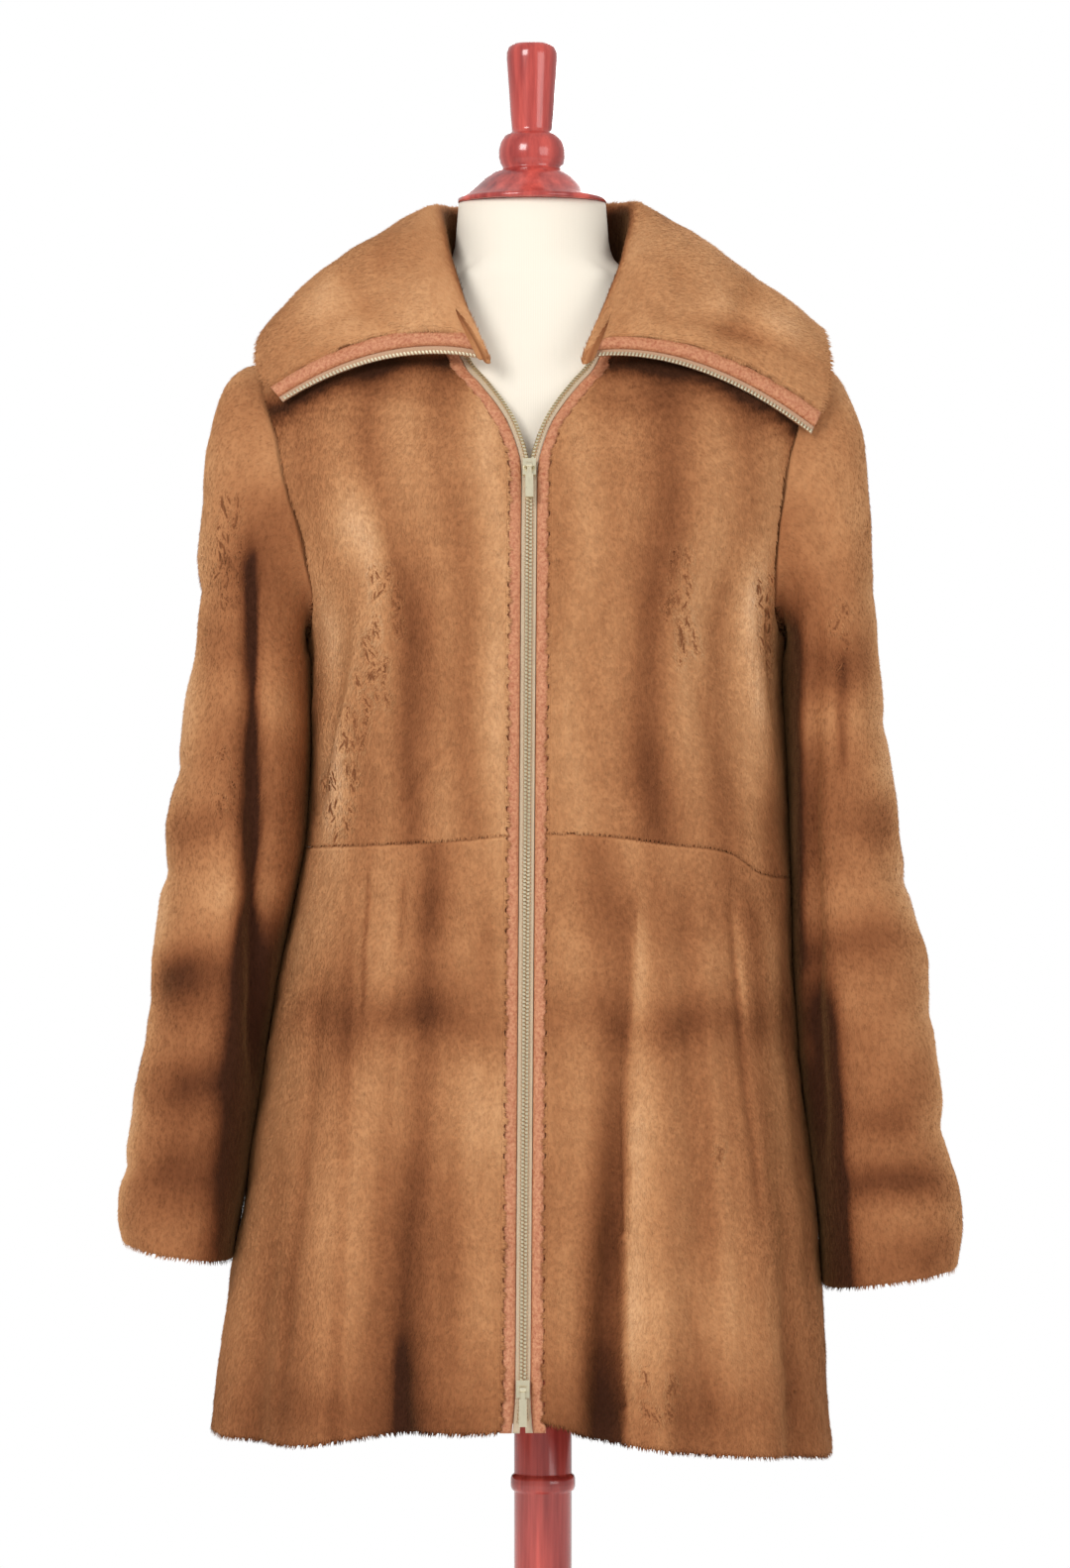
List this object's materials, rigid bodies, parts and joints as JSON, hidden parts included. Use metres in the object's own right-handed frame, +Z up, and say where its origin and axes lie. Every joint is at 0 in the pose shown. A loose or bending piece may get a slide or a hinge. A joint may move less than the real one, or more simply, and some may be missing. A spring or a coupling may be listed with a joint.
{
  "type": "fur coat on a dress form",
  "caption": "Sheared fur coat with a front zip, its tall collar rolled open, worn by a limbless dress form on a turned wooden stand.",
  "frame": {"origin": "bottom centre of the stand's round base, on the floor", "axes": "+Z up the pole to the finial, -Y the way the coat's front faces, +X the wearer's left"},
  "size_m": [0.5949, 0.3373, 1.571],
  "materials": {
    "fur": "soft sheared pile",
    "leather_trim": "fine grained, matt",
    "zip_tape": "woven",
    "zip_metal": "pale, satin",
    "jersey": "plain, smooth",
    "varnished_wood": "red mahogany, varnished"
  },
  "bodies": {
    "coat": {"bodice_front_right": "fur", "bodice_front_left": "fur", "bodice_back": "fur", "skirt_front_right": "fur", "skirt_front_left": "fur", "skirt_back": "fur", "sleeve_right": "fur", "sleeve_left": "fur", "collar": "fur", "trim_right": "leather_trim", "trim_left": "leather_trim", "collar_trim_right": "leather_trim", "collar_trim_left": "leather_trim", "zip_right": "zip_tape", "zip_left": "zip_tape", "collar_zip_right": "zip_tape", "collar_zip_left": "zip_tape", "slider_top": "zip_metal", "slider_bottom": "zip_metal", "torso": "jersey", "neck_cap": "varnished_wood", "pole": "varnished_wood", "base": "varnished_wood"},
    "pull_tab_top": {"pull_top": "zip_metal"},
    "pull_tab_bottom": {"pull_bottom": "zip_metal"}
  },
  "joints": [
    {"name": "pull_tab_top_hinge", "type": "hinge", "parent": "coat", "child": "pull_tab_top", "pos_m": [-0.00388, -0.11961, 1.26696], "axis": [-1, 0, 0], "range_deg": [0, 160]},
    {"name": "pull_tab_bottom_hinge", "type": "hinge", "parent": "coat", "child": "pull_tab_bottom", "pos_m": [-0.00825, -0.15143, 0.63656], "axis": [-1, 0, 0], "range_deg": [0, 160]}
  ]
}
